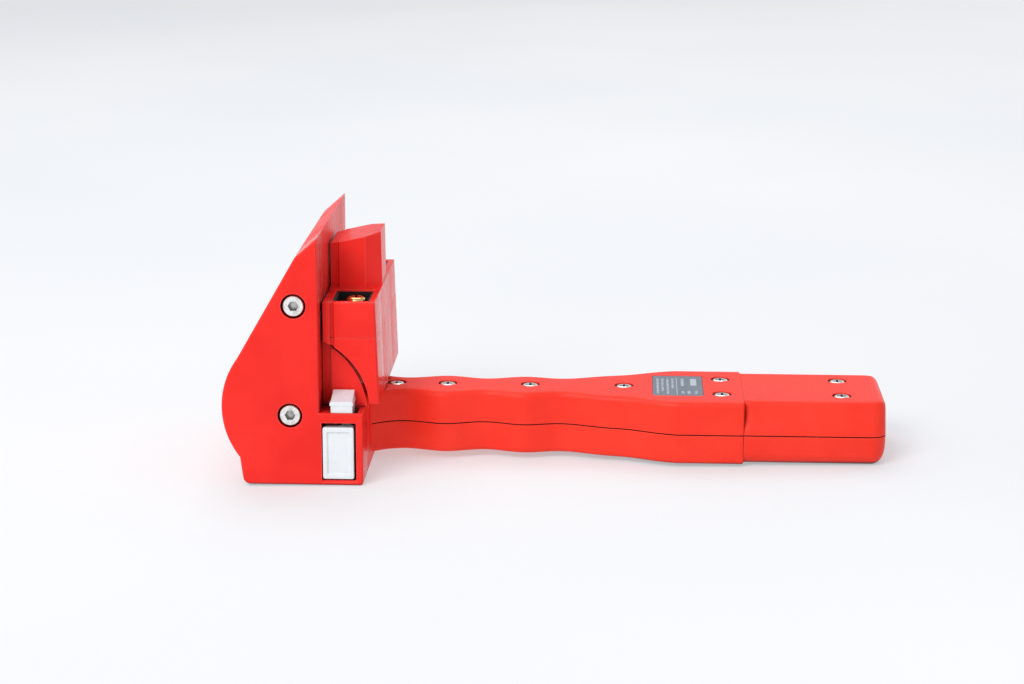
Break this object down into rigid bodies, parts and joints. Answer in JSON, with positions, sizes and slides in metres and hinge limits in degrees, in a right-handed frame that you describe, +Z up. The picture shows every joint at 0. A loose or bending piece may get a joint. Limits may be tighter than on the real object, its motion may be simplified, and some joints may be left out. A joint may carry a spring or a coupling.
{
  "type": "handheld bag heat sealer",
  "caption": "Handheld bag heat sealer: an upright red head with a pivoting sealing jaw, two white buttons and a long battery handle with finger waves.",
  "frame": {"origin": "middle of the overall length and width, at the height of the head's flat sole", "axes": "+X along the handle, away from the head; +Y across the tool to its far side; +Z up"},
  "size_m": [0.215, 0.084, 0.081],
  "materials": {
    "red_printed": "satin, 3-D printed layers",
    "red_handle": "smooth satin",
    "white_plastic": "satin",
    "black_plastic": "matte",
    "screw_steel": "bright",
    "brass": "bright",
    "bronze_bush": "sintered",
    "silicone": "matte",
    "tape": "glass cloth tape",
    "band_metal": "bright",
    "aluminium_part": "milled",
    "solenoid_case": "satin",
    "board": "solder mask",
    "battery_wrap": "shrink sleeve",
    "plate": "printed"
  },
  "bodies": {
    "body": {"near_cheek": "red_printed", "far_cheek": "red_printed", "head_core": "red_printed", "pressure_pad": "silicone", "cheek_screws": "screw_steel", "pivot_shaft": "screw_steel", "tie_rod": "screw_steel", "throat_block": "red_printed", "solenoid": "solenoid_case", "control_board": "board", "side_switch": "black_plastic", "throat_switch": "black_plastic", "side_button_spring": "screw_steel", "throat_button_spring": "screw_steel", "handle_top_shell": "red_handle", "handle_bottom_shell": "red_handle", "spine": "aluminium_part", "grip_screws": "screw_steel", "pack_screws": "screw_steel", "rating_plate": "plate", "pack_frame": "black_plastic", "battery_pack": "battery_wrap", "charge_board": "board", "charge_socket": "screw_steel"},
    "jaw": {"jaw_block": "red_printed", "near_low_block": "red_printed", "far_low_block": "red_printed", "near_pocket_liner": "black_plastic", "far_pocket_liner": "black_plastic", "near_adjusting_screw": "brass", "far_adjusting_screw": "brass", "centre_block": "red_printed", "jaw_arms": "aluminium_part", "pivot_bushes": "bronze_bush", "heating_band": "band_metal", "band_cover": "tape"},
    "plunger": {"solenoid_plunger": "screw_steel"},
    "side_button": {"side_button": "white_plastic"},
    "throat_button": {"throat_button": "white_plastic"}
  },
  "joints": [
    {"name": "jaw_pivot", "type": "hinge", "parent": "body", "child": "jaw", "pos_m": [-0.0854, 0, 0.0231], "axis": [0, 1, 0], "range_deg": [-0.65, 2.2], "stiffness_Nm_per_rad": 3},
    {"name": "plunger_slide", "type": "slide", "parent": "body", "child": "plunger", "axis": [0, 0, 1], "range_m": [-0.0003, 0.0005]},
    {"name": "side_button_press", "type": "slide", "parent": "body", "child": "side_button", "axis": [0, 1, 0], "range_m": [0, 0.0009], "stiffness_N_per_m": 200, "springref_m": -0.002},
    {"name": "throat_button_press", "type": "slide", "parent": "body", "child": "throat_button", "axis": [0, 0, -1], "range_m": [0, 0.0009], "stiffness_N_per_m": 200, "springref_m": -0.002, "deforming": ["throat_button_spring"]}
  ],
  "couplings": [
    {"joint": "plunger_slide", "follows": "jaw_pivot", "m_per_rad": 0.0081}
  ]
}
